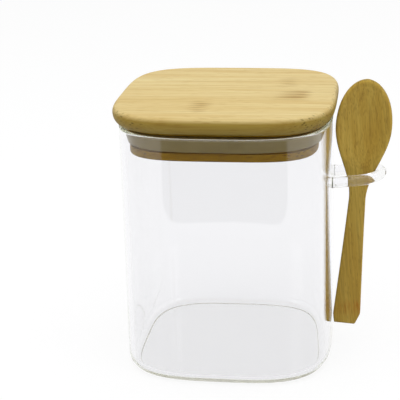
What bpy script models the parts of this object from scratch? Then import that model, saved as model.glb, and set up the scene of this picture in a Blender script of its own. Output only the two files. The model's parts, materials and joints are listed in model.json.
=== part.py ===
"""Square glass storage jar: bamboo lid on a silicone seal, and a bamboo spoon hung in a glass loop.

Metres, +Z up. The origin is the centre of the jar's base, on the surface that the jar stands on.
The loop and the spoon are on the +X wall, and the spoon's dished face looks along -Y.
"""

import math

import bmesh
import bpy
from mathutils import Matrix, Vector
from mathutils.geometry import intersect_point_line

# Glass body
JAR_WIDTH = 0.1012
JAR_HEIGHT = 0.1214
GLASS_WALL = 0.0022
GLASS_FLOOR = 0.0024
HEEL_RADIUS = 0.0050
INNER_HEEL_RADIUS = 0.0035
RIM_ROUND = 0.0009

# Lid
LID_OVERHANG = 0.0017
LID_STAND_OFF = 0.0015
BOARD_THICKNESS = 0.0085
BOARD_TOP_ROUND = 0.0028
BOARD_BOTTOM_ROUND = 0.0054
PLUG_DEPTH = 0.0133
PLUG_GAP = 0.0035
PLUG_EDGE_ROUND = 0.0008

# Power of each plan curve: 2 would be a circle, and a higher one is squarer
JAR_PLAN_POWER = 3.15
BOARD_PLAN_POWER = 3.7
PLUG_PLAN_POWER = 4.0

# Seal, in a groove round the plug
GROOVE_DEPTH = 0.0016
SEAL_DROP = 0.0017
SEAL_HEIGHT = 0.0066
SEAL_TAPER = 0.0014
SEAL_LIP = 0.0012

# Loop of glass rod
ROD_DIAMETER = 0.0052
LOOP_SPACING = 0.0198
LOOP_REACH = 0.0228
LOOP_HEIGHT = 0.0896
LOOP_RISE_ANGLE = math.radians(7.0)
LOOP_STUB = 0.0020
WELD_FLARE = 0.0006

# Spoon
SPOON_LENGTH = 0.1249
HANDLE_LENGTH = 0.0651
HANDLE_END_WIDTH = 0.0139
NECK_WIDTH = 0.0080
BOWL_WIDTH = 0.0267
BOWL_TIP_LENGTH = 0.0228
SPOON_THICKNESS = 0.0046
BOWL_BACK_SWELL = 0.0022
BOWL_TIP_THICKNESS = 0.0026
END_CUT_WIDTH = 0.0025
END_CUT_LENGTH = 0.0066
END_NIP_WIDTH = 0.0010
END_NIP_LENGTH = 0.0055
SPOON_EDGE_ROUND = 0.0013
DISH_DEPTH = 0.0032
DISH_RIM = 0.0030
DISH_STAND_OFF = 0.0040
SPOON_LID_GAP = 0.00025
SPOON_WALL_GAP = 0.0006
SPOON_FORWARD = 0.0008

# Shared values
FIT = 0.0003
CUT_OVERRUN = 0.0040
SNAP = 0.00001
CORNER_STEPS = 20
EDGE_STEPS = 4
RIM_STEPS = 3
ROD_STEPS = 14
ROD_BEVEL_RESOLUTION = 5
OUTLINE_STEPS = 16
HANDLE_STEPS = 5
SPHERE_SEGMENTS = 28
SPHERE_RINGS = 18
RIM_WALL_SHARE = 0.45
BEVEL_SHARE = 0.98
HANDLE_FLARE_POWER = 1.15
SHARP_ANGLE = math.radians(40.0)
RIM_EDGE_ANGLE = math.radians(60.0)

# Worked-out sizes
JAR_HALF = JAR_WIDTH / 2
MOUTH_HALF = JAR_HALF - GLASS_WALL
BOARD_HALF = JAR_HALF + LID_OVERHANG
BOARD_BASE = JAR_HEIGHT + LID_STAND_OFF
PLUG_HALF = MOUTH_HALF - PLUG_GAP
GROOVE_FLOOR_HALF = PLUG_HALF - GROOVE_DEPTH


def clear_scene():
    """Remove every object, so that the part starts from an empty scene."""
    for item in list(bpy.data.objects):
        bpy.data.objects.remove(item, do_unlink=True)


def make_collection(name):
    """A collection of its own under the scene."""
    collection = bpy.data.collections.new(name)
    bpy.context.scene.collection.children.link(collection)
    return collection


def make_material(name, colour, roughness, transmission=0.0, ior=1.45):
    """A Principled material with the colour, roughness and clarity of the real one."""
    material = bpy.data.materials.new(name)
    material.use_nodes = True
    shader = material.node_tree.nodes["Principled BSDF"]
    shader.inputs["Base Color"].default_value = (*colour, 1.0)
    shader.inputs["Roughness"].default_value = roughness
    shader.inputs["Metallic"].default_value = 0.0
    shader.inputs["Transmission Weight"].default_value = transmission
    shader.inputs["IOR"].default_value = ior
    material.diffuse_color = (*colour, 1.0)
    return material


def clear_glass():
    """Borosilicate glass, nearly colourless."""
    return make_material("clear_glass", (0.93, 0.96, 0.94), 0.02, transmission=1.0, ior=1.47)


def lid_bamboo():
    """Pale sanded bamboo of the board."""
    return make_material("lid_bamboo", (0.72, 0.55, 0.28), 0.50)


def plug_bamboo():
    """The same bamboo under the board, a shade darker."""
    return make_material("plug_bamboo", (0.45, 0.28, 0.07), 0.55)


def spoon_bamboo():
    """Carbonised, browner bamboo of the spoon."""
    return make_material("spoon_bamboo", (0.37, 0.21, 0.05), 0.60)


def grey_silicone():
    """Milky grey silicone rubber."""
    return make_material("grey_silicone", (0.36, 0.36, 0.33), 0.45)


def add_object(name, data, collection, material=None, parent=None, place=None):
    """Link a new object for the given mesh or curve, under a parent and at a place of its own."""
    item = bpy.data.objects.new(name, data)
    collection.objects.link(item)
    if material:
        item.data.materials.append(material)
    if parent:
        item.parent = parent
    if place is not None:
        item.matrix_local = place
    return item


def add_empty(name, collection, parent=None, place=None):
    """An empty that carries the pieces which move together."""
    return add_object(name, None, collection, parent=parent, place=place)


def mark_cutter(item):
    """Show a cutter or a guide as wire only, and keep it out of renders."""
    item.display_type = "WIRE"
    item.hide_render = True
    return item


def smooth(item, sharp_angle=SHARP_ANGLE):
    """Shade a rounded piece smooth, with its real edges left sharp."""
    item.data.shade_smooth()
    item.data.set_sharp_from_angle(angle=sharp_angle)


def round_loop(bm, height, radius):
    """Round the ring of edges that bounds a block at one height."""
    ring = [edge for edge in bm.edges if all(abs(vert.co.z - height) < SNAP for vert in edge.verts)]
    bmesh.ops.bevel(bm, geom=ring, offset=radius, offset_type="OFFSET", segments=EDGE_STEPS,
                    profile=0.5, affect="EDGES", clamp_overlap=False)


def soft_square(half, power):
    """Points of a square whose sides and corners are one curve, anticlockwise from the +X side."""
    points = []
    for quarter in range(4):
        turn = Matrix.Rotation(quarter * math.pi / 2, 2)
        for step in range(CORNER_STEPS):
            angle = step * math.pi / 2 / CORNER_STEPS
            point = Vector((math.cos(angle) ** (2 / power), math.sin(angle) ** (2 / power)))
            points.append(turn @ point * half)
    return points


def soft_block(name, half, power, low, high, low_round=0.0, high_round=0.0):
    """A block with the plan of a soft square, and rounded lower and upper edges where asked for.

    A bevel's profile is a curve of the same kind, so bevels that nearly meet make the whole plan.
    """
    bm = bmesh.new()
    bmesh.ops.create_cube(bm, size=1.0)
    bmesh.ops.scale(bm, vec=(2 * half, 2 * half, high - low), verts=bm.verts)
    bmesh.ops.translate(bm, vec=(0, 0, (low + high) / 2), verts=bm.verts)
    upright = [edge for edge in bm.edges if abs(edge.verts[0].co.z - edge.verts[1].co.z) > SNAP]
    bmesh.ops.bevel(bm, geom=upright, offset=half * BEVEL_SHARE, offset_type="OFFSET", segments=CORNER_STEPS,
                    profile=0.5 ** (2 / power), affect="EDGES", clamp_overlap=False)
    if low_round:
        round_loop(bm, low, low_round)
    if high_round:
        round_loop(bm, high, high_round)
    bmesh.ops.recalc_face_normals(bm, faces=bm.faces)
    mesh = bpy.data.meshes.new(name)
    bm.to_mesh(mesh)
    bm.free()
    return mesh


def poly_curve(name, points, cyclic):
    """Curve data with one straight-segment spline through 3-D points."""
    curve = bpy.data.curves.new(name, "CURVE")
    curve.dimensions = "3D"
    spline = curve.splines.new("POLY")
    spline.points.add(len(points) - 1)
    for target, point in zip(spline.points, points):
        target.co = (*point, 1.0)
    spline.use_cyclic_u = cyclic
    return curve


def curve_to_mesh(item, name):
    """The closed mesh of a curve object in its own axes. The curve object is removed."""
    graph = bpy.context.evaluated_depsgraph_get()
    mesh = bpy.data.meshes.new_from_object(item.evaluated_get(graph), depsgraph=graph)
    mesh.name = name
    curve = item.data
    bpy.data.objects.remove(item, do_unlink=True)
    bpy.data.curves.remove(curve)
    bm = bmesh.new()
    bm.from_mesh(mesh)
    bmesh.ops.remove_doubles(bm, verts=bm.verts, dist=SNAP)
    bmesh.ops.recalc_face_normals(bm, faces=bm.faces)
    bm.to_mesh(mesh)
    bm.free()
    return mesh


def swept_ring(name, half, power, profile, collection):
    """Mesh of a profile, given as (outward, upward) points, swept round a soft square.

    A bevel object's +X lies to the left of its path, which is inwards here, so outward is negated.
    """
    path = poly_curve(name, [(x, y, 0) for x, y in soft_square(half, power)], cyclic=True)
    path.dimensions = "2D"
    path.fill_mode = "NONE"
    section = poly_curve(name + "_section", [(-out, up, 0) for out, up in profile], cyclic=True)
    section.dimensions = "2D"
    section.fill_mode = "NONE"
    section_item = mark_cutter(add_object(name + "_section", section, collection))
    path.bevel_mode = "OBJECT"
    path.bevel_object = section_item
    mesh = curve_to_mesh(add_object(name + "_path", path, collection), name)
    bpy.data.objects.remove(section_item, do_unlink=True)
    bpy.data.curves.remove(section)
    return mesh


def flat_outline(name, points, thickness, collection):
    """Mesh of a flat outline, extruded by half its thickness to each side of its plane."""
    curve = poly_curve(name, [(x, y, 0) for x, y in points], cyclic=True)
    curve.dimensions = "2D"
    curve.fill_mode = "BOTH"
    curve.extrude = thickness / 2
    return curve_to_mesh(add_object(name, curve, collection), name)


def add_boolean(item, cutter, operation):
    """Cut, join or intersect a piece with a cutter."""
    modifier = item.modifiers.new(operation.lower(), "BOOLEAN")
    modifier.operation = operation
    modifier.solver = "EXACT"
    modifier.object = cutter
    return modifier


def add_bevel(item, width, segments, angle):
    """Round the edges of a piece that are sharper than an angle."""
    modifier = item.modifiers.new("bevel", "BEVEL")
    modifier.width = width
    modifier.segments = segments
    modifier.limit_method = "ANGLE"
    modifier.angle_limit = angle
    modifier.use_clamp_overlap = False
    return modifier


def make_glass_jar(parts, cutters, root):
    """Glass body: an outer block with a round heel, hollowed from the rim down to the floor."""
    outer = soft_block("glass_jar", JAR_HALF, JAR_PLAN_POWER, 0, JAR_HEIGHT, low_round=HEEL_RADIUS)
    jar = add_object("glass_jar", outer, parts, clear_glass(), root)
    hollow = soft_block("jar_hollow", MOUTH_HALF, JAR_PLAN_POWER, GLASS_FLOOR,
                        JAR_HEIGHT + CUT_OVERRUN, low_round=INNER_HEEL_RADIUS)
    cutter = mark_cutter(add_object("jar_hollow", hollow, cutters, parent=root))
    add_boolean(jar, cutter, "DIFFERENCE")
    add_bevel(jar, min(RIM_ROUND, RIM_WALL_SHARE * GLASS_WALL), RIM_STEPS, RIM_EDGE_ANGLE)
    smooth(jar)


def make_lid_board(parts, lid):
    """Board of the lid, with its underside at the lid's own zero height."""
    mesh = soft_block("lid_board", BOARD_HALF, BOARD_PLAN_POWER, 0, BOARD_THICKNESS,
                      low_round=BOARD_BOTTOM_ROUND, high_round=BOARD_TOP_ROUND)
    board = add_object("lid_board", mesh, parts, lid_bamboo(), lid)
    smooth(board)


def seal_foot():
    """Height of the seal's foot, measured from the board's underside."""
    return -SEAL_DROP - SEAL_HEIGHT


def make_lid_plug(parts, cutters, lid):
    """Block that goes down into the mouth, with a groove round it for the seal."""
    mesh = soft_block("lid_plug", PLUG_HALF, PLUG_PLAN_POWER, -PLUG_DEPTH, -FIT, low_round=PLUG_EDGE_ROUND)
    plug = add_object("lid_plug", mesh, parts, plug_bamboo(), lid)
    reach = GROOVE_DEPTH + CUT_OVERRUN
    groove = [(0, -FIT), (reach, -FIT), (reach, SEAL_HEIGHT + FIT), (0, SEAL_HEIGHT + FIT)]
    ring = swept_ring("plug_groove", GROOVE_FLOOR_HALF, PLUG_PLAN_POWER, groove, cutters)
    place = Matrix.Translation((0, 0, seal_foot()))
    cutter = mark_cutter(add_object("plug_groove", ring, cutters, parent=lid, place=place))
    add_boolean(plug, cutter, "DIFFERENCE")
    smooth(plug)


def make_seal_ring(parts, cutters, lid):
    """Silicone ring: outside it spreads from its foot to a lip along the glass, and inside it is
    bored to sit on the floor of the plug's groove.
    """
    reach = PLUG_GAP + GROOVE_DEPTH + CUT_OVERRUN
    section = [
        (-reach, 0),
        (-SEAL_TAPER, 0),
        (0, SEAL_HEIGHT - SEAL_LIP),
        (0, SEAL_HEIGHT),
        (-reach, SEAL_HEIGHT),
    ]
    place = Matrix.Translation((0, 0, seal_foot()))
    ring = swept_ring("seal_ring", MOUTH_HALF - FIT, JAR_PLAN_POWER, section, cutters)
    seal = add_object("seal_ring", ring, parts, grey_silicone(), lid, place)
    bore = soft_block("seal_bore", GROOVE_FLOOR_HALF + FIT, PLUG_PLAN_POWER,
                      -CUT_OVERRUN, SEAL_HEIGHT + CUT_OVERRUN)
    cutter = mark_cutter(add_object("seal_bore", bore, cutters, parent=lid, place=place))
    add_boolean(seal, cutter, "DIFFERENCE")
    smooth(seal)


def loop_point(along, side):
    """Point of the rod's centre line, at a distance along the leg and to one side.

    A short stub leaves the wall square to it, and from there on the loop rises.
    """
    rising = max(along - LOOP_STUB, 0.0)
    level = min(along, LOOP_STUB)
    return (level + rising * math.cos(LOOP_RISE_ANGLE), side, rising * math.sin(LOOP_RISE_ANGLE))


def loop_path():
    """Centre line of the rod, from the foot at -Y round the bend to the foot at +Y."""
    bend = LOOP_SPACING / 2
    leg = LOOP_REACH - bend
    near_leg = [loop_point(along, -bend) for along in (0.0, LOOP_STUB, leg)]
    far_leg = [loop_point(along, bend) for along in (leg, LOOP_STUB, 0.0)]
    turn = []
    for step in range(1, ROD_STEPS):
        angle = math.pi * (step / ROD_STEPS - 0.5)
        turn.append(loop_point(leg + bend * math.cos(angle), bend * math.sin(angle)))
    return near_leg + turn + far_leg


def make_spoon_loop(parts, root):
    """Glass rod bent to a U, with its two feet spread where they meet the wall."""
    curve = poly_curve("spoon_loop", loop_path(), cyclic=False)
    curve.bevel_depth = ROD_DIAMETER / 2
    curve.bevel_resolution = ROD_BEVEL_RESOLUTION
    curve.use_fill_caps = True
    ends = curve.splines[0].points
    for point in (ends[0], ends[-1]):
        point.radius = 1 + WELD_FLARE / (ROD_DIAMETER / 2)
    mesh = curve_to_mesh(add_object("spoon_loop", curve, parts), "spoon_loop")
    place = Matrix.Translation((JAR_HALF + FIT, 0, LOOP_HEIGHT))
    loop = add_object("spoon_loop", mesh, parts, clear_glass(), root, place)
    smooth(loop)


def spoon_half_width(height):
    """Half the width of the spoon at a height above the handle's end."""
    widest = SPOON_LENGTH - BOWL_TIP_LENGTH
    if height >= widest:
        reach = min((height - widest) / BOWL_TIP_LENGTH, 1.0)
        return BOWL_WIDTH / 2 * math.sqrt(1 - reach * reach)
    if height >= HANDLE_LENGTH:
        share = (widest - height) / (widest - HANDLE_LENGTH)
        return (NECK_WIDTH + (BOWL_WIDTH - NECK_WIDTH) * (1 + math.cos(math.pi * share)) / 2) / 2
    share = (1 - height / HANDLE_LENGTH) ** HANDLE_FLARE_POWER
    return (NECK_WIDTH + (HANDLE_END_WIDTH - NECK_WIDTH) * share) / 2


def spoon_side(side, start):
    """One long side of the spoon's outline, from a height on the handle up to the tip, which is left out."""
    widest = SPOON_LENGTH - BOWL_TIP_LENGTH
    shares = [step / OUTLINE_STEPS for step in range(OUTLINE_STEPS)]
    handle_shares = [step / HANDLE_STEPS for step in range(HANDLE_STEPS)]
    heights = [start + (HANDLE_LENGTH - start) * share for share in handle_shares]
    heights += [HANDLE_LENGTH + (widest - HANDLE_LENGTH) * share for share in shares]
    heights += [widest + BOWL_TIP_LENGTH * math.sin(math.pi / 2 * share) for share in shares]
    return [(side * spoon_half_width(height), height) for height in heights]


def spoon_outline():
    """Front outline of the spoon: its end has a slanting cut at one corner and a nip at the other."""
    end = HANDLE_END_WIDTH / 2
    left = [(END_NIP_WIDTH - end, 0)] + spoon_side(-1, END_NIP_LENGTH)
    right = [(end - END_CUT_WIDTH, 0)] + spoon_side(1, END_CUT_LENGTH)
    return left + [(0, SPOON_LENGTH)] + list(reversed(right))


def spoon_profile():
    """Side outline of the spoon, as (backward, upward) points: flat in front, swelling behind the bowl."""
    front = -SPOON_THICKNESS / 2
    back = SPOON_THICKNESS / 2
    widest = SPOON_LENGTH - BOWL_TIP_LENGTH
    points = [(front, -CUT_OVERRUN), (back, -CUT_OVERRUN), (back, HANDLE_LENGTH)]
    for step in range(1, OUTLINE_STEPS + 1):
        share = step / OUTLINE_STEPS
        swell = BOWL_BACK_SWELL * (1 - math.cos(math.pi * share)) / 2
        points.append((back + swell, HANDLE_LENGTH + (widest - HANDLE_LENGTH) * share))
    fall = back + BOWL_BACK_SWELL - (front + BOWL_TIP_THICKNESS)
    for step in range(1, OUTLINE_STEPS + 1):
        share = step / OUTLINE_STEPS
        points.append((back + BOWL_BACK_SWELL - fall * (1 - math.cos(math.pi / 2 * share)),
                       widest + (BOWL_TIP_LENGTH + CUT_OVERRUN) * share))
    points.append((front, SPOON_LENGTH + CUT_OVERRUN))
    return points


def dish_cutter(parent, cutters):
    """Ellipsoid that hollows the bowl: its widest section stands off in front of the spoon."""
    depth_axis = DISH_DEPTH + DISH_STAND_OFF
    spread = 1 / math.sqrt(1 - (DISH_STAND_OFF / depth_axis) ** 2)
    half_width = (BOWL_WIDTH / 2 - DISH_RIM) * spread
    half_length = (BOWL_TIP_LENGTH - DISH_RIM) * spread
    bm = bmesh.new()
    bmesh.ops.create_uvsphere(bm, u_segments=SPHERE_SEGMENTS, v_segments=SPHERE_RINGS, radius=1.0)
    bmesh.ops.scale(bm, vec=(half_width, depth_axis, half_length), verts=bm.verts)
    mesh = bpy.data.meshes.new("spoon_dish")
    bm.to_mesh(mesh)
    bm.free()
    place = Matrix.Translation((0, -SPOON_THICKNESS / 2 - DISH_STAND_OFF, SPOON_LENGTH - BOWL_TIP_LENGTH))
    return mark_cutter(add_object("spoon_dish", mesh, cutters, parent=parent, place=place))


def spoon_lean():
    """Foot of the spoon's centre line at the handle's end, and the angle that it leans outwards.

    The bowl's widest part clears the lid's edge when the spoon is drawn up past it, and the handle's
    end clears the wall, each by its own gap.
    """
    upper = Vector((BOARD_HALF + SPOON_LID_GAP + BOWL_WIDTH / 2, BOARD_BASE + BOARD_BOTTOM_ROUND))
    lower = Vector((JAR_HALF + SPOON_WALL_GAP + HANDLE_END_WIDTH / 2, LOOP_HEIGHT - HANDLE_LENGTH))
    run = upper - lower
    return lower, math.atan2(run.x, run.y)


def rod_clearance(foot, along, rod):
    """Least room between the rod's surface and the rounded edges of the spoon's outer side."""
    across = Vector((along.y, -along.x))
    flat = SPOON_THICKNESS / 2 - SPOON_EDGE_ROUND
    room = math.inf
    for turn in (0, math.pi / 4):
        inset = SPOON_EDGE_ROUND * (1 - math.cos(turn))
        depth = flat + SPOON_EDGE_ROUND * math.sin(turn)
        for half, height in spoon_side(1, END_CUT_LENGTH):
            edge = foot + along * height + across * (half - inset)
            for face in (-depth, depth):
                point = Vector((edge.x, face - SPOON_FORWARD, edge.y))
                room = min(room, polyline_distance(point, rod))
    return room - ROD_DIAMETER / 2


def polyline_distance(point, line):
    """Distance from a point to the nearest straight piece of a line through points."""
    least = math.inf
    for start, end in zip(line, line[1:]):
        near, share = intersect_point_line(point, start, end)
        near = start if share < 0 else end if share > 1 else near
        least = min(least, (point - near).length)
    return least


def spoon_place():
    """Place of the spoon: it leans on the jar, and is let down until its shoulder is in the loop."""
    lower, lean = spoon_lean()
    along = Vector((math.sin(lean), math.cos(lean)))
    wall = Vector((JAR_HALF + FIT, 0, LOOP_HEIGHT))
    rod = [wall + Vector(point) for point in loop_path()]
    high, low = SPOON_LENGTH, -SPOON_LENGTH / 2
    while high - low > SNAP:
        middle = (high + low) / 2
        clear = rod_clearance(lower + along * middle, along, rod) > FIT
        high, low = (middle, low) if clear else (high, middle)
    foot = lower + along * high
    return Matrix.Translation((foot.x, -SPOON_FORWARD, foot.y)) @ Matrix.Rotation(lean, 4, "Y")


def make_spoon(parts, cutters, carrier):
    """Bamboo spoon: its front outline met with its side outline, then edged and dished."""
    upright = Matrix.Rotation(math.pi / 2, 4, "X")
    sideways = Matrix.Rotation(math.pi / 2, 4, "Z") @ upright
    front = flat_outline("spoon", spoon_outline(), BOWL_WIDTH, cutters)
    front.transform(upright)
    spoon = add_object("spoon", front, parts, spoon_bamboo(), carrier)
    side = flat_outline("spoon_side", spoon_profile(), BOWL_WIDTH + CUT_OVERRUN, cutters)
    side.transform(sideways)
    side_cutter = mark_cutter(add_object("spoon_side", side, cutters, parent=carrier))
    add_boolean(spoon, side_cutter, "INTERSECT")
    add_bevel(spoon, SPOON_EDGE_ROUND, RIM_STEPS, RIM_EDGE_ANGLE)
    add_boolean(spoon, dish_cutter(carrier, cutters), "DIFFERENCE")
    smooth(spoon)


def main():
    """Make the jar, the lid and the spoon, each under the empty that carries it."""
    clear_scene()
    parts = make_collection("glass_storage_jar")
    cutters = make_collection("cutters")
    root = add_empty("jar_base", parts)
    lid = add_empty("lid_lift", parts, root, Matrix.Translation((0, 0, BOARD_BASE)))
    carrier = add_empty("spoon_lift", parts, root, spoon_place())
    make_glass_jar(parts, cutters, root)
    make_spoon_loop(parts, root)
    make_lid_board(parts, lid)
    make_lid_plug(parts, cutters, lid)
    make_seal_ring(parts, cutters, lid)
    make_spoon(parts, cutters, carrier)
    bpy.context.view_layer.update()


main()
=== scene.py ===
"""Looks of the square glass storage jar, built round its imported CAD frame.

Metres, +Z up, in the frame's own axes: the loop and the spoon are on the +X wall, and the
spoon's dished face looks along -Y. Each piece stands for the CAD nodes named where it is dressed.
"""

import json
import math

import bmesh
import bpy
from mathutils import Matrix, Vector


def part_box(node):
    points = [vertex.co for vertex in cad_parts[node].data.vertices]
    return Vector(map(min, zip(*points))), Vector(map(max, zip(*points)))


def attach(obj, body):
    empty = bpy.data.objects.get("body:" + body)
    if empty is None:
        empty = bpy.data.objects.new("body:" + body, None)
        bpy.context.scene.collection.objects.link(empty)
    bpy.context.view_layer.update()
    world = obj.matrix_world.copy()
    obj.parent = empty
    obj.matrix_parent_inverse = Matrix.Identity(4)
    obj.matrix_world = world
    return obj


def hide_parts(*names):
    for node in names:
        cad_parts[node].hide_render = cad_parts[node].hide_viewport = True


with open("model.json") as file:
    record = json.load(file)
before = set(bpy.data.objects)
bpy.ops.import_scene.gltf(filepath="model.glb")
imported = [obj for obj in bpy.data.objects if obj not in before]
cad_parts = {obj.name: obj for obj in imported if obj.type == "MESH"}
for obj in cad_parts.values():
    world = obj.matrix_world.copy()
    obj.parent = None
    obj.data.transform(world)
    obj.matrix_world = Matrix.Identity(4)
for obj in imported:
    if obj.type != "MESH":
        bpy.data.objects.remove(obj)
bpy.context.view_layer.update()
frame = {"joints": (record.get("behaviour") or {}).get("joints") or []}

MM = 0.001
SNAP = 0.01 * MM
OVERRUN = 4.0 * MM

# Glass body and loop
GLASS_WALL = 2.2 * MM
GLASS_FLOOR = 2.4 * MM
HEEL_RADIUS = 5.0 * MM
INNER_HEEL_RADIUS = 3.5 * MM
BASE_LAND = 0.35 * MM
BASE_SLOPE = 0.8 * MM
BASE_PUSH_UP = 0.55 * MM
RIM_ROUND = 0.95 * MM
ROD_DIAMETER = 5.2 * MM
LOOP_SPACING = 19.8 * MM
LOOP_REACH = 23.0 * MM
LOOP_HEIGHT = 89.6 * MM
LOOP_RISE_ANGLE = math.radians(7.0)
LOOP_STUB = 2.0 * MM
WELD_DEPTH = 1.1 * MM
WELD_FLARE = 0.15 * MM

# Lid
BOARD_TOP_ROUND = 2.8 * MM
BOARD_BOTTOM_ROUND = 5.4 * MM
PLUG_EDGE_ROUND = 0.9 * MM
GROOVE_DEPTH = 1.6 * MM
GROOVE_PLAY = 0.3 * MM
GROOVE_BELOW = 1.1 * MM
SEAL_PLAY = 0.03 * MM
SEAL_TAPER = 1.4 * MM
SEAL_LIP = 1.2 * MM

# Power of each plan curve: 2 would be a circle, and a higher one is squarer
JAR_PLAN_POWER = 3.15
BOARD_PLAN_POWER = 3.7
PLUG_PLAN_POWER = 4.0

# Spoon
SPOON_LENGTH = 124.9 * MM
HANDLE_LENGTH = 66.0 * MM
HANDLE_END_WIDTH = 13.9 * MM
HANDLE_FLARE_POWER = 1.15
NECK_WIDTH = 8.0 * MM
BOWL_WIDTH = 26.7 * MM
BOWL_TIP_LENGTH = 22.8 * MM
SPOON_THICKNESS = 4.6 * MM
BOWL_BACK_SWELL = 2.2 * MM
BOWL_TIP_THICKNESS = 2.6 * MM
END_CUT_WIDTH = 2.5 * MM
END_CUT_LENGTH = 6.6 * MM
END_NIP_WIDTH = 1.0 * MM
END_NIP_LENGTH = 5.5 * MM
SPOON_FORWARD = 0.8 * MM
SPOON_BACK_PERCENT = 32
SPOON_BACK_ANGLE = math.radians(60.0)
SPOON_TIP_SHARE = 0.975
SPOON_GRAIN_OF_MESH = 0.42 * MM
SANDING_STRENGTH = 0.5
SANDING_PASSES = 5
DISH_DEPTH = 2.8 * MM
DISH_RIM = 1.2 * MM
DISH_STAND_OFF = 14.0 * MM

# Bamboo: length along the grain, thickness across it, and detail of each layer of the pattern
GRAIN_LAYERS = {
    "broad": (110.0 * MM, 7.0 * MM, 2.0),
    "streak": (55.0 * MM, 1.9 * MM, 3.0),
    "fibre": (26.0 * MM, 0.55 * MM, 2.0),
}
VESSEL_LENGTH = 9.0 * MM
VESSEL_SPACING = 1.3 * MM
GRAIN_RELIEF = 0.06 * MM
ALONG_X = (0, 0, 0)

# Strips: their width and the place of one seam. The spoon lies within one very wide strip
BOARD_STRIPS = (22.5 * MM, 4.5 * MM)
ONE_STRIP = (1.0, -0.5)

# Knuckles, each as place along, middle across, length of its tail and strength
MARK_JAG = 16.0 * MM
MARK_HEAD = 5.0 * MM
MARK_SOFT = 5.0 * MM
BOARD_MARKS = (
    (-9.0 * MM, -29.2 * MM, 8.0 * MM, 0.75),
    (36.0 * MM, -5.7 * MM, 16.0 * MM, 1.0),
    (28.5 * MM, 19.7 * MM, 8.0 * MM, 0.4),
)
SPOON_MARKS = ((18.0 * MM, 0.0, 7.0 * MM, 0.8),)

# Silicone: size of its clouds, and how far light sinks in
SILICONE_CLOUD = 9.0 * MM
SILICONE_DEPTH = 1.5 * MM

# Steps of round stretches
CORNER_STEPS = 72
BEVEL_SHARE = 0.98
HANDLE_STEPS = 5
EDGE_STEPS = 8
ROD_SIDES = 40
BEND_STEPS = 28
FLARE_STEPS = 5
BOWL_STEPS = 12
DISH_SEGMENTS = 64
DISH_RINGS = 48

# Shading of round and flat faces, and which faces look up or down
ROUND_PROFILE = 0.5
FLAT_WEIGHT = 90
SMOOTH_ANGLE = math.radians(35.0)
RIGHT_ANGLE = math.pi / 2
UPWARD = 0.9
DOWNWARD = -0.5

# Camera, from a fit to the outlines in the photograph
SENSOR_WIDTH_MM = 36.0
LENS_MM = 117.095
CAMERA_DISTANCE = 644.42 * MM
CAMERA_PITCH = math.radians(18.67)
CAMERA_YAW = math.radians(8.85)
CAMERA_ROLL = math.radians(-1.62)
CAMERA_TARGET = Vector((-15.15, 0.0, 75.92)) * MM

# Dark card in front, part of a ring round the jar, which the bowed front wall mirrors as the
# photograph's grey patch with straight sides and soft lower corners
CARD_NEAR = 277.0 * MM
CARD_FAR = 500.0 * MM
CARD_LEFT = math.radians(-35.0)
CARD_RIGHT = math.radians(42.5)
CARD_CORNER = 48.0 * MM
CARD_CORNER_POWER = 9
CARD_STEPS = 48
CARD_HEIGHT = 1.0 * MM

# How strongly the card shows in the front wall's outer and inner face. A ray that has passed
# more glass faces than the limit doesn't see it
CARD_IN_OUTER_FACE = 0.8
CARD_IN_INNER_FACE = 1.0
CARD_GLASS_LIMIT = 2.5

# Table: its size and its drop below the jar, then how much of it glows and how strongly, each
# seen directly and through glass
FLOOR_SIZE = 6.0
FLOOR_DROP = 0.2 * MM
FLOOR_GLOW_SHARES = (0.85, 0.72)
FLOOR_GLOW_STRENGTHS = (1.065, 1.136)

# Room light, and the soft lamps: name, place and side in metres, and power in watts
ROOM_LIGHT = 0.36
LAMPS = (
    ("overhead_softbox", (0, -0.1, 1.1), 1.2, 7.4),
    ("left_softbox", (-0.9, -0.8, 0.6), 0.6, 1.4),
    ("right_softbox", (1.1, -0.5, 0.5), 0.6, 1.85),
)

# Most bounces that a ray may take: with a lower limit the rim's two ends render darker
GLASS_BOUNCES = 256

# Between no bounce and one, for telling counts of bounces apart
HALF_BOUNCE = 0.5

# Sockets of a Mix node for colours: its share, its two colours and its result
MIX_SHARE, MIX_FROM, MIX_TO, MIX_OUT = 0, 6, 7, 2

# Sizes that the frame gives
jar_low, jar_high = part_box("glass_jar")
board_low, board_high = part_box("lid_board")
plug_low, plug_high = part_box("lid_plug")
seal_low, seal_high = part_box("seal_ring")
spoon_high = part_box("spoon")[1]
joints = {joint["name"]: joint for joint in frame["joints"]}
spoon_axis = Vector(joints["spoon_lift"]["axis"]).normalized()
spoon_lean = math.atan2(spoon_axis.x, spoon_axis.z)


# Modelling

def only(*pieces):
    """Select the given pieces and nothing else, with the first one active."""
    bpy.ops.object.select_all(action="DESELECT")
    for piece in pieces:
        piece.select_set(True)
    bpy.context.view_layer.objects.active = pieces[0]


def settle(piece):
    """Put a piece's place, turn and size into its mesh."""
    only(piece)
    bpy.ops.object.transform_apply(location=True, rotation=True, scale=True)


def pick(piece, kind, test):
    """In edit mode, select the faces or the edges of a piece that pass a test, and nothing else."""
    bm = bmesh.from_edit_mesh(piece.data)
    bm.select_mode = {kind}
    for element in (*bm.verts, *bm.edges, *bm.faces):
        element.select_set(False)
    for element in bm.faces if kind == "FACE" else bm.edges:
        if test(element):
            element.select_set(True)
    bm.select_flush_mode()
    bmesh.update_edit_mesh(piece.data)
    bpy.context.tool_settings.mesh_select_mode = (False, kind == "EDGE", kind == "FACE")


def level(edge, height):
    """Whether an edge lies at one height."""
    return all(abs(vert.co.z - height) < SNAP for vert in edge.verts)


def round_off(radius, steps, profile=ROUND_PROFILE):
    """In edit mode, round the selected edges."""
    bpy.ops.mesh.bevel(offset_type="OFFSET", offset=radius, segments=steps, profile=profile,
                       affect="EDGES", clamp_overlap=False)


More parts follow.
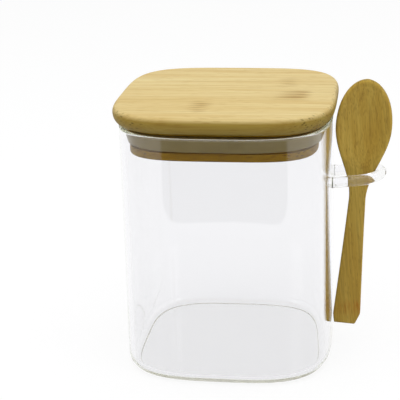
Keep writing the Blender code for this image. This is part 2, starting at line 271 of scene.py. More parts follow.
def apply_modifier(piece, kind, **settings):
    """Add a modifier with its settings, and apply it."""
    only(piece)
    modifier = piece.modifiers.new(kind.lower(), kind)
    for name, value in settings.items():
        setattr(modifier, name, value)
    bpy.ops.object.modifier_apply(modifier=modifier.name)


def combine(piece, tool, operation):
    """Cut, join or meet a piece with a tool, which is then deleted."""
    apply_modifier(piece, "BOOLEAN", operation=operation, object=tool, solver="EXACT")
    bpy.data.objects.remove(tool, do_unlink=True)


def shade(piece, angle=SMOOTH_ANGLE):
    """Shade a piece smooth, apart from its real edges."""
    only(piece)
    bpy.ops.object.shade_smooth_by_angle(angle=angle)


def soft_block(name, half, power, low, high, low_round=0.0, high_round=0.0):
    """A block whose plan is a soft square, with rounded lower and upper edges where asked for.

    A bevel's profile is a curve of the same kind, so bevels that nearly meet make the whole plan.
    """
    bpy.ops.object.select_all(action="DESELECT")
    bpy.ops.mesh.primitive_cube_add(size=1, location=(0, 0, (low + high) / 2))
    piece = bpy.context.object
    piece.name = piece.data.name = name
    piece.scale = (2 * half, 2 * half, high - low)
    settle(piece)
    bpy.ops.object.mode_set(mode="EDIT")
    pick(piece, "EDGE", lambda edge: abs(edge.verts[0].co.z - edge.verts[1].co.z) > SNAP)
    round_off(half * BEVEL_SHARE, CORNER_STEPS, 0.5 ** (2 / power))
    if low_round:
        pick(piece, "EDGE", lambda edge: level(edge, low))
        round_off(low_round, EDGE_STEPS)
    if high_round:
        pick(piece, "EDGE", lambda edge: level(edge, high))
        round_off(high_round, EDGE_STEPS)
    bpy.ops.object.mode_set(mode="OBJECT")
    return piece


def make_jar_body():
    """The blown body: a round heel, a base pushed up a little inside it, and a fire-polished rim."""
    height = jar_high.z
    jar = soft_block("jar_glass", jar_high.x, JAR_PLAN_POWER, jar_low.z, height,
                     low_round=HEEL_RADIUS)
    only(jar)
    bpy.ops.object.mode_set(mode="EDIT")
    pick(jar, "FACE", lambda face: abs(face.calc_center_median().z - jar_low.z) < SNAP)
    bpy.ops.mesh.inset(thickness=BASE_LAND, depth=0)
    bpy.ops.mesh.inset(thickness=BASE_SLOPE, depth=-BASE_PUSH_UP)
    pick(jar, "FACE", lambda face: abs(face.calc_center_median().z - height) < SNAP)
    bpy.ops.mesh.inset(thickness=GLASS_WALL, depth=0)
    bpy.ops.mesh.extrude_region_move(
        TRANSFORM_OT_translate={"value": (0, 0, GLASS_FLOOR - height)})
    pick(jar, "EDGE", lambda edge: level(edge, GLASS_FLOOR))
    round_off(INNER_HEEL_RADIUS, EDGE_STEPS)
    pick(jar, "EDGE", lambda edge: level(edge, height) and len(edge.link_faces) == 2
         and edge.calc_face_angle() > SMOOTH_ANGLE)
    round_off(RIM_ROUND, EDGE_STEPS)
    bpy.ops.object.mode_set(mode="OBJECT")
    return jar


def make_loop_rod():
    """Glass rod bent to a U, which rises from the wall and spreads where it is welded on."""
    bend = LOOP_SPACING / 2
    leg = LOOP_REACH - bend
    wall = jar_high.x
    stub_share = 1 / FLARE_STEPS
    bpy.ops.object.select_all(action="DESELECT")
    bpy.ops.mesh.primitive_circle_add(
        vertices=ROD_SIDES, radius=ROD_DIAMETER / 2, fill_type="NOTHING",
        location=(wall + leg, -bend, LOOP_HEIGHT), rotation=(0, RIGHT_ANGLE, 0))
    rod = bpy.context.object
    rod.name = rod.data.name = "loop_rod"
    settle(rod)
    bpy.ops.object.mode_set(mode="EDIT")
    bpy.ops.mesh.select_all(action="SELECT")
    bpy.ops.mesh.spin(steps=BEND_STEPS, angle=math.pi, center=(wall + leg, 0, LOOP_HEIGHT),
                      axis=(0, 0, -1))
    for side in (-1, 1):
        middle = Vector((wall + leg, side * bend, LOOP_HEIGHT))
        pick(rod, "EDGE", lambda edge: edge.is_boundary
             and all(vert.co.y * side > 0 for vert in edge.verts))
        bpy.ops.mesh.extrude_region_move(TRANSFORM_OT_translate={"value": (LOOP_STUB - leg, 0, 0)})
        for step in range(FLARE_STEPS):
            bpy.ops.mesh.extrude_region_move(
                TRANSFORM_OT_translate={"value": (-LOOP_STUB * stub_share, 0, 0)})
            before = WELD_FLARE * (step * stub_share) ** 2
            after = WELD_FLARE * ((step + 1) * stub_share) ** 2
            growth = (ROD_DIAMETER / 2 + after) / (ROD_DIAMETER / 2 + before)
            at = middle + Vector((LOOP_STUB - leg - LOOP_STUB * stub_share * (step + 1), 0, 0))
            bpy.ops.transform.resize(value=(1, growth, growth), center_override=at)
        bpy.ops.mesh.extrude_region_move(TRANSFORM_OT_translate={"value": (-WELD_DEPTH, 0, 0)})
        bpy.ops.mesh.edge_face_add()
    bpy.ops.mesh.select_all(action="SELECT")
    bpy.ops.mesh.remove_doubles(threshold=SNAP)
    bpy.ops.mesh.normals_make_consistent(inside=False)
    bpy.ops.object.mode_set(mode="OBJECT")
    rise = Matrix.Rotation(-LOOP_RISE_ANGLE, 4, "Y")
    pivot = Vector((wall + LOOP_STUB, 0, LOOP_HEIGHT))
    for vert in rod.data.vertices:
        if vert.co.x > pivot.x - SNAP:
            vert.co = pivot + rise @ (vert.co - pivot)
    return rod


def make_jar_glass():
    """Body and loop in one: the rod's feet are welded into the wall."""
    jar = make_jar_body()
    combine(jar, make_loop_rod(), "UNION")
    shade(jar)
    apply_modifier(jar, "WEIGHTED_NORMAL", keep_sharp=True, weight=FLAT_WEIGHT)
    return jar


def make_lid_board():
    """Board with soft edges, turned under further than over."""
    board = soft_block("lid_board_bamboo", board_high.x, BOARD_PLAN_POWER, board_low.z, board_high.z,
                       low_round=BOARD_BOTTOM_ROUND, high_round=BOARD_TOP_ROUND)
    shade(board)
    return board


def make_lid_plug():
    """Block under the board, with the seal's groove routed round it."""
    plug = soft_block("lid_plug_bamboo", plug_high.x, PLUG_PLAN_POWER, plug_low.z, plug_high.z,
                      low_round=PLUG_EDGE_ROUND)
    only(plug)
    bpy.ops.object.mode_set(mode="EDIT")
    low, high = seal_low.z - GROOVE_BELOW, seal_high.z + GROOVE_PLAY
    for height in (low, high):
        bpy.ops.mesh.select_all(action="SELECT")
        bpy.ops.mesh.bisect(plane_co=(0, 0, height), plane_no=(0, 0, 1))
    pick(plug, "FACE", lambda face: low < face.calc_center_median().z < high)
    bpy.ops.mesh.extrude_region_shrink_fatten(
        TRANSFORM_OT_shrink_fatten={"value": -GROOVE_DEPTH, "use_even_offset": True})
    bpy.ops.object.mode_set(mode="OBJECT")
    shade(plug)
    return plug


def make_seal():
    """Silicone ring, which spreads from its foot to a lip along the glass."""
    half, low, high = jar_high.x - GLASS_WALL - SEAL_PLAY, seal_low.z, seal_high.z
    seal = soft_block("seal_silicone", half, JAR_PLAN_POWER, high - SEAL_LIP, high)
    only(seal)
    bpy.ops.object.mode_set(mode="EDIT")
    pick(seal, "FACE", lambda face: face.normal.z < DOWNWARD)
    bpy.ops.mesh.inset(thickness=SEAL_TAPER, depth=high - SEAL_LIP - low)
    bpy.ops.object.mode_set(mode="OBJECT")
    groove = plug_high.x - GROOVE_DEPTH + GROOVE_PLAY
    bore = soft_block("seal_bore", groove, PLUG_PLAN_POWER, low - OVERRUN, high + OVERRUN)
    combine(seal, bore, "DIFFERENCE")
    shade(seal)
    return seal


def spoon_half_width(height):
    """Half the width of the spoon at a height above the handle's end."""
    widest = SPOON_LENGTH - BOWL_TIP_LENGTH
    if height >= widest:
        reach = min((height - widest) / BOWL_TIP_LENGTH, 1.0)
        return BOWL_WIDTH / 2 * math.sqrt(1 - reach * reach)
    if height >= HANDLE_LENGTH:
        share = (widest - height) / (widest - HANDLE_LENGTH)
        return (NECK_WIDTH + (BOWL_WIDTH - NECK_WIDTH) * (1 + math.cos(math.pi * share)) / 2) / 2
    share = (1 - height / HANDLE_LENGTH) ** HANDLE_FLARE_POWER
    return (NECK_WIDTH + (HANDLE_END_WIDTH - NECK_WIDTH) * share) / 2


def spoon_depth(height):
    """Thickness of the spoon at a height: it swells behind the bowl and thins to the tip."""
    widest = SPOON_LENGTH - BOWL_TIP_LENGTH
    full = SPOON_THICKNESS + BOWL_BACK_SWELL
    if height >= widest:
        share = min((height - widest) / (BOWL_TIP_LENGTH + OVERRUN), 1.0)
        return full - (full - BOWL_TIP_THICKNESS) * (1 - math.cos(RIGHT_ANGLE * share))
    share = max((height - HANDLE_LENGTH) / (widest - HANDLE_LENGTH), 0.0)
    return SPOON_THICKNESS + BOWL_BACK_SWELL * (1 - math.cos(math.pi * share)) / 2


def spoon_stations():
    """Heights at which the spoon's blank has a section, from the handle's end to the tip."""
    widest = SPOON_LENGTH - BOWL_TIP_LENGTH
    heights = [HANDLE_LENGTH * step / HANDLE_STEPS for step in range(HANDLE_STEPS + 1)]
    heights += [HANDLE_LENGTH + (widest - HANDLE_LENGTH) * step / BOWL_STEPS
                for step in range(1, BOWL_STEPS)]
    heights += [widest + BOWL_TIP_LENGTH * math.sin(RIGHT_ANGLE * SPOON_TIP_SHARE * step / BOWL_STEPS)
                for step in range(BOWL_STEPS + 1)]
    return heights


def draw_out(spoon, heights, front):
    """In edit mode, draw the spoon's blank out from section to section."""
    for index, height in enumerate(heights[1:], start=1):
        last = heights[index - 1]
        pick(spoon, "FACE", lambda face: face.normal.z > UPWARD
             and face.calc_center_median().z > last - SNAP)
        if index > 1:
            bpy.ops.mesh.extrude_region_move(TRANSFORM_OT_translate={"value": (0, 0, height - last)})
        wider = spoon_half_width(height) / spoon_half_width(last)
        deeper = spoon_depth(height) / spoon_depth(last)
        bpy.ops.transform.resize(value=(wider, deeper, 1), center_override=(0, front, height))


def trim_handle_end():
    """In edit mode, cut a slanting corner off the handle's end, and nip off the other one."""
    end = HANDLE_END_WIDTH / 2
    cuts = (
        (Vector((end - END_CUT_WIDTH, 0, 0)), Vector((END_CUT_LENGTH, 0, -END_CUT_WIDTH))),
        (Vector((END_NIP_WIDTH - end, 0, 0)), Vector((-END_NIP_LENGTH, 0, -END_NIP_WIDTH))),
    )
    for place, outward in cuts:
        bpy.ops.mesh.select_all(action="SELECT")
        bpy.ops.mesh.bisect(plane_co=place, plane_no=outward.normalized(), threshold=SNAP,
                            use_fill=True, clear_outer=True)
    bpy.ops.mesh.select_all(action="SELECT")
    bpy.ops.mesh.normals_make_consistent(inside=False)


def round_bowl_back(spoon, front):
    """In edit mode, round the edges behind the neck and the bowl."""
    pick(spoon, "EDGE", lambda edge: len(edge.link_faces) == 2
         and edge.calc_face_angle() > SPOON_BACK_ANGLE
         and all(vert.co.y > front + SNAP for vert in edge.verts)
         and min(vert.co.z for vert in edge.verts) > HANDLE_LENGTH - SNAP)
    bpy.ops.mesh.bevel(offset_type="PERCENT", offset_pct=SPOON_BACK_PERCENT, segments=EDGE_STEPS,
                       profile=ROUND_PROFILE, affect="EDGES", clamp_overlap=False)


def make_spoon():
    """Spoon carved from a bamboo blank: drawn out in sections, edged, dished, then sanded soft."""
    heights = spoon_stations()
    front = -SPOON_THICKNESS / 2
    bpy.ops.object.select_all(action="DESELECT")
    bpy.ops.mesh.primitive_cube_add(size=1, location=(0, 0, heights[1] / 2))
    spoon = bpy.context.object
    spoon.name = spoon.data.name = "spoon_bamboo"
    spoon.scale = (2 * spoon_half_width(heights[0]), SPOON_THICKNESS, heights[1])
    settle(spoon)
    bpy.ops.object.mode_set(mode="EDIT")
    draw_out(spoon, heights, front)
    trim_handle_end()
    round_bowl_back(spoon, front)
    bpy.ops.object.mode_set(mode="OBJECT")
    combine(spoon, make_dish_tool(front), "DIFFERENCE")
    apply_modifier(spoon, "REMESH", mode="VOXEL", voxel_size=SPOON_GRAIN_OF_MESH)
    apply_modifier(spoon, "SMOOTH", factor=SANDING_STRENGTH, iterations=SANDING_PASSES)
    place_spoon(spoon)
    only(spoon)
    bpy.ops.object.shade_smooth()
    return spoon


def make_dish_tool(front):
    """Ball, drawn out to an egg-like shape, that hollows the bowl from in front of the spoon."""
    depth_axis = DISH_DEPTH + DISH_STAND_OFF
    spread = 1 / math.sqrt(1 - (DISH_STAND_OFF / depth_axis) ** 2)
    bpy.ops.object.select_all(action="DESELECT")
    bpy.ops.mesh.primitive_uv_sphere_add(
        segments=DISH_SEGMENTS, ring_count=DISH_RINGS, radius=1,
        location=(0, front - DISH_STAND_OFF, SPOON_LENGTH - BOWL_TIP_LENGTH))
    tool = bpy.context.object
    tool.scale = ((BOWL_WIDTH / 2 - DISH_RIM) * spread, depth_axis,
                  (BOWL_TIP_LENGTH - DISH_RIM) * spread)
    settle(tool)
    return tool


def place_spoon(spoon):
    """Lean the spoon as its joint does, with its bowl where the CAD spoon's is."""
    widest = SPOON_LENGTH - BOWL_TIP_LENGTH
    lean_sin, lean_cos = math.sin(spoon_lean), math.cos(spoon_lean)
    reach_x = math.hypot(BOWL_TIP_LENGTH * lean_sin, BOWL_WIDTH / 2 * lean_cos)
    reach_z = math.hypot(BOWL_TIP_LENGTH * lean_cos, BOWL_WIDTH / 2 * lean_sin)
    spoon.location = (spoon_high.x - widest * lean_sin - reach_x, -SPOON_FORWARD,
                      spoon_high.z - widest * lean_cos - reach_z)
    spoon.rotation_euler = (0, spoon_lean, 0)
    settle(spoon)


# Materials

def linear(hex_code):
    """The linear colour of an sRGB hex code."""
    channels = [int(hex_code[at:at + 2], 16) / 255 for at in (0, 2, 4)]
    return (*[c / 12.92 if c <= 0.04045 else ((c + 0.055) / 1.055) ** 2.4 for c in channels], 1.0)


def add_node(tree, kind, inputs=None, **settings):
    """Add a node with its settings. Inputs are values, or sockets to link from."""
    made = tree.nodes.new(kind)
    for name, value in settings.items():
        setattr(made, name, value)
    for key, value in (inputs or {}).items():
        if isinstance(value, bpy.types.NodeSocket):
            tree.links.new(value, made.inputs[key])
        else:
            made.inputs[key].default_value = value
    return made


def new_material(name):
    """A material with its node tree and its Principled shader."""
    material = bpy.data.materials.new(name)
    material.use_nodes = True
    return material, material.node_tree, material.node_tree.nodes["Principled BSDF"]


def clear_borosilicate():
    """Borosilicate glass, blown and fire-polished: clear, with a faint warm green seen edge-on."""
    material, tree, shader = new_material("clear_borosilicate_glass")
    shader.inputs["Base Color"].default_value = linear("FAFAFA")
    shader.inputs["Roughness"].default_value = 0.0
    shader.inputs["IOR"].default_value = 1.473
    shader.inputs["Transmission Weight"].default_value = 1.0
    tint = add_node(tree, "ShaderNodeVolumeAbsorption", {"Color": linear("E6EAC4"), "Density": 2.2})
    tree.links.new(tint.outputs[0], tree.nodes["Material Output"].inputs["Volume"])
    return material


def bamboo(name, tones, turn, strips, marks, fineness=1.0):
    """Sanded bamboo: long fibres with short dark vessels between them, in glued strips.

    The pattern's X runs along the fibres, so it is turned onto the piece first. Cut across, as at
    the board's rounded ends, the same vessels show as pores. Tones are the pale and warm wood, the
    dark fibre, the knuckle's brown, the pores, and the painted shade of faces that look sideways
    and of faces that look up. Faces that look down are painted darker still, also as painted shade.
    Strips are their width and the place of one seam, and marks are the knuckles, each as (place
    along, middle across, tail, strength).
    """
    material, tree, shader = new_material(name)
    pale, warm, dark, knuckle, pore, side, top = (linear(code) for code in tones)
    width, seam = strips
    coords = add_node(tree, "ShaderNodeTexCoord")
    place = add_node(tree, "ShaderNodeMapping", {"Vector": coords.outputs["Object"], "Rotation": turn})
    axes = add_node(tree, "ShaderNodeSeparateXYZ", {0: place.outputs[0]})
    across = add_node(tree, "ShaderNodeMath", {0: axes.outputs["Y"], 1: seam}, operation="SUBTRACT")
    strip = add_node(tree, "ShaderNodeMath", {0: across.outputs[0], 1: width}, operation="DIVIDE")
    number = add_node(tree, "ShaderNodeMath", {0: strip.outputs[0]}, operation="FLOOR")
    chance = add_node(tree, "ShaderNodeTexWhiteNoise", {"W": number.outputs[0]}, noise_dimensions="1D")
    slip = add_node(tree, "ShaderNodeCombineXYZ", {"X": chance.outputs["Value"]})
    slipped = add_node(tree, "ShaderNodeVectorMath", {0: place.outputs[0], 1: slip.outputs[0]},
                       operation="ADD")

    layers = {}
    for layer, (length, thickness, detail) in GRAIN_LAYERS.items():
        drawn = add_node(tree, "ShaderNodeMapping", {
            "Vector": slipped.outputs[0], "Scale": (1 / length, 1 / thickness, 1 / thickness)})
        noise = add_node(tree, "ShaderNodeTexNoise", {
            "Vector": drawn.outputs[0], "Scale": fineness, "Detail": detail, "Roughness": 0.6})
        layers[layer] = noise.outputs["Fac"]
    drawn = add_node(tree, "ShaderNodeMapping", {
        "Vector": slipped.outputs[0],
        "Scale": (1 / VESSEL_LENGTH, 1 / VESSEL_SPACING, 1 / VESSEL_SPACING)})
    vessel = add_node(tree, "ShaderNodeTexVoronoi", {"Vector": drawn.outputs[0], "Scale": fineness})

    body = add_node(tree, "ShaderNodeMapRange", {
        "Value": layers["broad"], "From Min": 0.35, "From Max": 0.65, "To Min": 0.0, "To Max": 0.7})
    lift = add_node(tree, "ShaderNodeMath", {0: chance.outputs["Value"], 1: 0.45, 2: body.outputs[0]},
                    operation="MULTIPLY_ADD")
    wood = add_node(tree, "ShaderNodeMix", {
        MIX_SHARE: lift.outputs[0], MIX_FROM: warm, MIX_TO: pale}, data_type="RGBA")
    streak = add_node(tree, "ShaderNodeMapRange", {
        "Value": layers["streak"], "From Min": 0.5, "From Max": 0.72, "To Min": 0.0, "To Max": 0.4})
    wood = add_node(tree, "ShaderNodeMix", {
        MIX_SHARE: streak.outputs[0], MIX_FROM: wood.outputs[MIX_OUT], MIX_TO: dark}, data_type="RGBA")
    fibre = add_node(tree, "ShaderNodeMapRange", {
        "Value": layers["fibre"], "From Min": 0.42, "From Max": 0.70, "To Min": 0.0, "To Max": 0.32})
    wood = add_node(tree, "ShaderNodeMix", {
        MIX_SHARE: fibre.outputs[0], MIX_FROM: wood.outputs[MIX_OUT], MIX_TO: dark}, data_type="RGBA")
    pit = add_node(tree, "ShaderNodeMapRange", {
        "Value": vessel.outputs["Distance"], "From Min": 0.12, "From Max": 0.30,
        "To Min": 0.45, "To Max": 0.0})
    wood = add_node(tree, "ShaderNodeMix", {
        MIX_SHARE: pit.outputs[0], MIX_FROM: wood.outputs[MIX_OUT], MIX_TO: dark}, data_type="RGBA")

    jag = add_node(tree, "ShaderNodeMath", {0: layers["fibre"], 1: MARK_JAG, 2: axes.outputs["X"]},
                   operation="MULTIPLY_ADD")
    jag = add_node(tree, "ShaderNodeMath", {0: jag.outputs[0], 1: MARK_JAG / 2}, operation="SUBTRACT")
    for along, middle, tail, strength in marks:
        rise = add_node(tree, "ShaderNodeMapRange", {
            "Value": jag.outputs[0], "From Min": along - tail, "From Max": along,
            "To Min": 0.0, "To Max": strength}, interpolation_type="SMOOTHSTEP")
        fall = add_node(tree, "ShaderNodeMapRange", {
            "Value": jag.outputs[0], "From Min": along, "From Max": along + MARK_HEAD,
            "To Min": 1.0, "To Max": 0.0}, interpolation_type="SMOOTHSTEP")
        offset = add_node(tree, "ShaderNodeMath", {0: axes.outputs["Y"], 1: middle}, operation="SUBTRACT")
        offset = add_node(tree, "ShaderNodeMath", {0: offset.outputs[0]}, operation="ABSOLUTE")
        inside = add_node(tree, "ShaderNodeMapRange", {
            "Value": offset.outputs[0], "From Min": width / 2 - MARK_SOFT, "From Max": width / 2,
            "To Min": 1.0, "To Max": 0.0})
        mask = add_node(tree, "ShaderNodeMath", {0: rise.outputs[0], 1: fall.outputs[0]},
                        operation="MULTIPLY")
        mask = add_node(tree, "ShaderNodeMath", {0: mask.outputs[0], 1: inside.outputs[0]},
                        operation="MULTIPLY")
        streaky = add_node(tree, "ShaderNodeMapRange", {
            "Value": layers["streak"], "From Min": 0.38, "From Max": 0.62, "To Min": 0.1, "To Max": 1.0})
        mask = add_node(tree, "ShaderNodeMath", {0: mask.outputs[0], 1: streaky.outputs[0]},
                        operation="MULTIPLY")
        wood = add_node(tree, "ShaderNodeMix", {
            MIX_SHARE: mask.outputs[0], MIX_FROM: wood.outputs[MIX_OUT], MIX_TO: knuckle},
            data_type="RGBA")

    geometry = add_node(tree, "ShaderNodeNewGeometry")
    facing = add_node(tree, "ShaderNodeSeparateXYZ", {0: geometry.outputs["Normal"]})
    turned = add_node(tree, "ShaderNodeMapping", {"Vector": geometry.outputs["Normal"], "Rotation": turn},
                      vector_type="NORMAL")
    end = add_node(tree, "ShaderNodeSeparateXYZ", {0: turned.outputs[0]})
    end = add_node(tree, "ShaderNodeMath", {0: end.outputs["X"]}, operation="ABSOLUTE")
    end = add_node(tree, "ShaderNodeMapRange", {
        "Value": end.outputs[0], "From Min": 0.2, "From Max": 0.45, "To Min": 0.0, "To Max": 0.65})
    dot = add_node(tree, "ShaderNodeMapRange", {
        "Value": vessel.outputs["Distance"], "From Min": 0.2, "From Max": 0.34,
        "To Min": 1.0, "To Max": 0.0})
    dot = add_node(tree, "ShaderNodeMath", {0: dot.outputs[0], 1: end.outputs[0]}, operation="MULTIPLY")
    wood = add_node(tree, "ShaderNodeMix", {
        MIX_SHARE: dot.outputs[0], MIX_FROM: wood.outputs[MIX_OUT], MIX_TO: pore}, data_type="RGBA")
    # Painted shade: each face gets a tone by which way it looks, the side tone for faces that look
    # sideways and the top tone for faces that look up
    edge = add_node(tree, "ShaderNodeMapRange", {
        "Value": facing.outputs["Z"], "From Min": 0.2, "From Max": 0.85, "To Min": 0.0, "To Max": 1.0})
    facing_shade = add_node(tree, "ShaderNodeMix", {
        MIX_SHARE: edge.outputs[0], MIX_FROM: side, MIX_TO: top}, data_type="RGBA")
    # Painted shade under the piece: faces that look down are darkened, down to 0.72 of their tone
    under = add_node(tree, "ShaderNodeMapRange", {
        "Value": facing.outputs["Z"], "From Min": -0.7, "From Max": 0.0, "To Min": 0.72, "To Max": 1.0})
    facing_shade = add_node(tree, "ShaderNodeVectorMath", {
        0: facing_shade.outputs[MIX_OUT], "Scale": under.outputs[0]}, operation="SCALE")
    wood = add_node(tree, "ShaderNodeMix", {
        MIX_SHARE: 1.0, MIX_FROM: wood.outputs[MIX_OUT], MIX_TO: facing_shade.outputs[0]},
        data_type="RGBA", blend_type="MULTIPLY")
    tree.links.new(wood.outputs[MIX_OUT], shader.inputs["Base Color"])

    rough = add_node(tree, "ShaderNodeMapRange", {
        "Value": layers["fibre"], "From Min": 0.3, "From Max": 0.7, "To Min": 0.5, "To Max": 0.68})
    tree.links.new(rough.outputs[0], shader.inputs["Roughness"])
    relief = add_node(tree, "ShaderNodeMath", {0: pit.outputs[0], 1: -0.6, 2: layers["fibre"]},
                      operation="MULTIPLY_ADD")
    bump = add_node(tree, "ShaderNodeBump", {
        "Strength": 0.35, "Distance": GRAIN_RELIEF, "Height": relief.outputs[0]})
    tree.links.new(bump.outputs[0], shader.inputs["Normal"])
    shader.inputs["IOR"].default_value = 1.45
    shader.inputs["Specular IOR Level"].default_value = 0.35
    return material


def sanded_bamboo_board():
    """Flat-pressed bamboo, pale and satin, with the culm's knuckles as smudges across single strips."""
    # The last two tones are painted shade: the darker one on faces that look sideways, and white on faces
    # that look up, which leaves those as they are
    tones = ("EEDB9F", "E0C480", "C09A50", "9E7222", "7C7030", "B8AE6B", "FFFFFF")
    return bamboo("sanded_bamboo_board", tones, ALONG_X, BOARD_STRIPS, BOARD_MARKS)


def bamboo_plug_painted_shade():
    """The board's bamboo, with its tones painted darker and browner as painted shade."""
    # Painted shade: every tone is darker and browner than the board's, and the last two are the side and
    # top tones of the painted facing shade
    tones = ("CEB038", "C29818", "99680C", "7A4A18", "6A4412", "F8F068", "FFFFFF")
    return bamboo("bamboo_plug_painted_shade", tones, ALONG_X, BOARD_STRIPS, ())


def carved_bamboo():
    """Bamboo of one piece, carved and sanded matt brown: the dish cuts its vessels to long ovals."""
    # The last two tones are painted shade on faces that look sideways and on faces that look up, with the
    # faces that look up painted darker
    tones = ("DBC066", "C4A042", "866224", "B8761C", "6E5220", "FCF6D6", "DAD49A")
    along_spoon = (0, RIGHT_ANGLE + spoon_lean, 0)
    return bamboo("carved_bamboo_spoon", tones, along_spoon, ONE_STRIP, SPOON_MARKS, fineness=1.7)


def grey_silicone():
    """Food-grade silicone, moulded: milky grey and satin, with light sinking in at its thin lip."""
    material, tree, shader = new_material("moulded_silicone")
    coords = add_node(tree, "ShaderNodeTexCoord")
    cloud = add_node(tree, "ShaderNodeTexNoise", {
        "Vector": coords.outputs["Object"], "Scale": 1 / SILICONE_CLOUD, "Detail": 3.0})
    tint = add_node(tree, "ShaderNodeMapRange", {
        "Value": cloud.outputs["Fac"], "From Min": 0.35, "From Max": 0.65, "To Min": 0.0, "To Max": 1.0})
    colour = add_node(tree, "ShaderNodeMix", {
        MIX_SHARE: tint.outputs[0], MIX_FROM: linear("B09C64"), MIX_TO: linear("BAA66E")},
        data_type="RGBA")
    tree.links.new(colour.outputs[MIX_OUT], shader.inputs["Base Color"])
    shader.inputs["Roughness"].default_value = 0.42
    shader.inputs["IOR"].default_value = 1.41
    shader.inputs["Subsurface Weight"].default_value = 0.25
    shader.inputs["Subsurface Radius"].default_value = (1.0, 0.9, 0.7)
    shader.inputs["Subsurface Scale"].default_value = SILICONE_DEPTH
    return material


# Stage

def seen_white(tree):
    """Socket that is 1 for what the camera sees straight, mirrored or through glass, and 0 for light."""
    path = add_node(tree, "ShaderNodeLightPath")
    sharp = add_node(tree, "ShaderNodeMath", {
        0: path.outputs["Is Camera Ray"], 1: path.outputs["Is Glossy Ray"]}, operation="MAXIMUM")
    sharp = add_node(tree, "ShaderNodeMath", {
        0: sharp.outputs[0], 1: path.outputs["Is Transmission Ray"]}, operation="MAXIMUM")
    first = add_node(tree, "ShaderNodeMath", {0: path.outputs["Diffuse Depth"], 1: HALF_BOUNCE},
                     operation="LESS_THAN")
    both = add_node(tree, "ShaderNodeMath", {0: sharp.outputs[0], 1: first.outputs[0]},
                    operation="MULTIPLY")
    return both.outputs[0]


def make_floor():
    """Pale matt table, white to the eye.

    It keeps a light shadow, and a deeper one where it is seen through glass.
    """
    bpy.ops.object.select_all(action="DESELECT")
    bpy.ops.mesh.primitive_plane_add(size=FLOOR_SIZE, location=(0, 0, -FLOOR_DROP))
    floor = bpy.context.object
    floor.name = "floor"
    material, tree, shader = new_material("pale_table")
    shader.inputs["Base Color"].default_value = linear("ECECED")
    shader.inputs["Roughness"].default_value = 0.9
    shader.inputs["Specular IOR Level"].default_value = 0.0
    path = add_node(tree, "ShaderNodeLightPath")
    through = add_node(tree, "ShaderNodeMath", {0: path.outputs["Transmission Depth"], 1: HALF_BOUNCE},
                       operation="GREATER_THAN")
    straight_share, through_share = FLOOR_GLOW_SHARES
    share = add_node(tree, "ShaderNodeMapRange", {
        "Value": through.outputs[0], "To Min": straight_share, "To Max": through_share})
    straight_strength, through_strength = FLOOR_GLOW_STRENGTHS
    strength = add_node(tree, "ShaderNodeMapRange", {
        "Value": through.outputs[0], "To Min": straight_strength, "To Max": through_strength})
    cool = add_node(tree, "ShaderNodeMix", {
        MIX_SHARE: through.outputs[0], MIX_FROM: linear("FFFFFF"), MIX_TO: linear("FCFCFF")},
        data_type="RGBA")
    glow = add_node(tree, "ShaderNodeEmission", {
        "Color": cool.outputs[MIX_OUT], "Strength": strength.outputs[0]})
    shown = add_node(tree, "ShaderNodeMixShader", {
        0: share.outputs[0], 1: shader.outputs[0], 2: glow.outputs[0]})
    mix = add_node(tree, "ShaderNodeMixShader", {
        0: seen_white(tree), 1: shader.outputs[0], 2: shown.outputs[0]})
    tree.links.new(mix.outputs[0], tree.nodes["Material Output"].inputs["Surface"])
    floor.data.materials.append(material)


def make_reflection_card():
    """Dark card on the table in front, outside the view, that only shows mirrored in the glass."""
    bpy.ops.object.select_all(action="DESELECT")
    bpy.ops.mesh.primitive_grid_add(size=2, x_subdivisions=CARD_STEPS, y_subdivisions=CARD_STEPS)
    card = bpy.context.object
    card.name = "reflection_card"
    for vert in card.data.vertices:
        along, away = vert.co.x, (vert.co.y + 1) / 2
        near = CARD_NEAR + CARD_CORNER * abs(along) ** CARD_CORNER_POWER
        angle = CARD_LEFT + (CARD_RIGHT - CARD_LEFT) * (along + 1) / 2
        reach = near + (CARD_FAR - near) * away
        vert.co = (reach * math.sin(angle), -reach * math.cos(angle), CARD_HEIGHT)
    material, tree, shader = new_material("black_card")
    shader.inputs["Base Color"].default_value = linear("101010")
    shader.inputs["Roughness"].default_value = 1.0
    shader.inputs["Specular IOR Level"].default_value = 0.0
    path = add_node(tree, "ShaderNodeLightPath")
    mirrored = add_node(tree, "ShaderNodeMath", {
        0: path.outputs["Glossy Depth"], 1: 1.0, 2: HALF_BOUNCE}, operation="COMPARE")
    near_wall = add_node(tree, "ShaderNodeMath", {
        0: path.outputs["Transmission Depth"], 1: CARD_GLASS_LIMIT}, operation="LESS_THAN")
    mirrored = add_node(tree, "ShaderNodeMath", {0: mirrored.outputs[0], 1: near_wall.outputs[0]},
                        operation="MULTIPLY")
    depth = add_node(tree, "ShaderNodeMapRange", {
        "Value": path.outputs["Transmission Depth"], "From Min": 0.0, "From Max": 1.0,
        "To Min": CARD_IN_OUTER_FACE, "To Max": CARD_IN_INNER_FACE})
    mirrored = add_node(tree, "ShaderNodeMath", {0: mirrored.outputs[0], 1: depth.outputs[0]},
                        operation="MULTIPLY")
    clear = add_node(tree, "ShaderNodeBsdfTransparent")
    mix = add_node(tree, "ShaderNodeMixShader", {
        0: mirrored.outputs[0], 1: clear.outputs[0], 2: shader.outputs[0]})
    tree.links.new(mix.outputs[0], tree.nodes["Material Output"].inputs["Surface"])
    card.data.materials.append(material)
    card.visible_camera = card.visible_diffuse = card.visible_shadow = False


def make_world():
    """White to the eye, and a soft grey room for the light."""
    world = bpy.data.worlds.new("studio")
    world.use_nodes = True
    tree = world.node_tree
    sky = tree.nodes["Background"]
    sky.inputs["Color"].default_value = linear("FFFFFF")
    sky.inputs["Strength"].default_value = ROOM_LIGHT
    white = add_node(tree, "ShaderNodeBackground", {"Color": linear("FFFFFF"), "Strength": 1.0})
    mix = add_node(tree, "ShaderNodeMixShader", {
        0: seen_white(tree), 1: sky.outputs[0], 2: white.outputs[0]})
    tree.links.new(mix.outputs[0], tree.nodes["World Output"].inputs["Surface"])
    bpy.context.scene.world = world


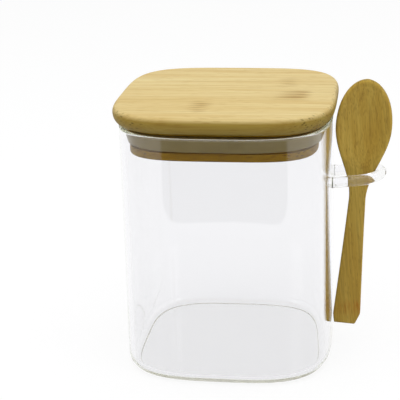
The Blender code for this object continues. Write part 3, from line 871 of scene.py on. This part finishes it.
def add_softbox(name, place, target, side, watts):
    """A soft square lamp, aimed at a point."""
    data = bpy.data.lights.new(name, "AREA")
    data.shape = "SQUARE"
    data.size = side
    data.energy = watts
    lamp = bpy.data.objects.new(name, data)
    bpy.context.scene.collection.objects.link(lamp)
    lamp.location = place
    lamp.rotation_euler = (Vector(target) - Vector(place)).to_track_quat("-Z", "Y").to_euler()


def make_lights():
    """A big soft lamp overhead, and two weaker ones from the sides."""
    middle = (0, 0, jar_high.z / 2)
    for name, place, side, watts in LAMPS:
        add_softbox(name, place, middle, side, watts)


def make_camera():
    """The photograph's own view."""
    level_reach = math.cos(CAMERA_PITCH)
    back = Vector((math.sin(CAMERA_YAW) * level_reach, -math.cos(CAMERA_YAW) * level_reach,
                   math.sin(CAMERA_PITCH)))
    right = Vector((0, 0, 1)).cross(back).normalized()
    up = back.cross(right)
    turned = Matrix((right, up, back)).transposed() @ Matrix.Rotation(CAMERA_ROLL, 3, "Z")
    data = bpy.data.cameras.new("camera")
    data.sensor_width = SENSOR_WIDTH_MM
    data.lens = LENS_MM
    camera = bpy.data.objects.new("camera", data)
    bpy.context.scene.collection.objects.link(camera)
    camera.matrix_world = Matrix.Translation(CAMERA_TARGET + back * CAMERA_DISTANCE) @ turned.to_4x4()
    bpy.context.scene.camera = camera


def dress(piece, material, body, slot_name, *nodes):
    """Give a piece its material and its body, and hide the nodes that it stands for; its slot name is not
    used.
    """
    piece.data.materials.clear()
    piece.data.materials.append(material)
    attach(piece, body)
    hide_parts(*nodes)


def main():
    """Make the pieces, the stage and the camera."""
    dress(make_jar_glass(), clear_borosilicate(), "jar", "clear_glass", "glass_jar", "spoon_loop")
    dress(make_lid_board(), sanded_bamboo_board(), "lid", "bamboo_lid", "lid_board")
    dress(make_lid_plug(), bamboo_plug_painted_shade(), "lid", "bamboo_lid", "lid_plug")
    dress(make_seal(), grey_silicone(), "lid", "grey_silicone", "seal_ring")
    dress(make_spoon(), carved_bamboo(), "spoon", "bamboo_spoon", "spoon")
    make_floor()
    make_reflection_card()
    make_world()
    make_lights()
    make_camera()
    scene = bpy.context.scene
    scene.view_settings.view_transform = "Standard"
    scene.cycles.max_bounces = GLASS_BOUNCES
    scene.cycles.transmission_bounces = GLASS_BOUNCES
    scene.cycles.glossy_bounces = GLASS_BOUNCES


main()
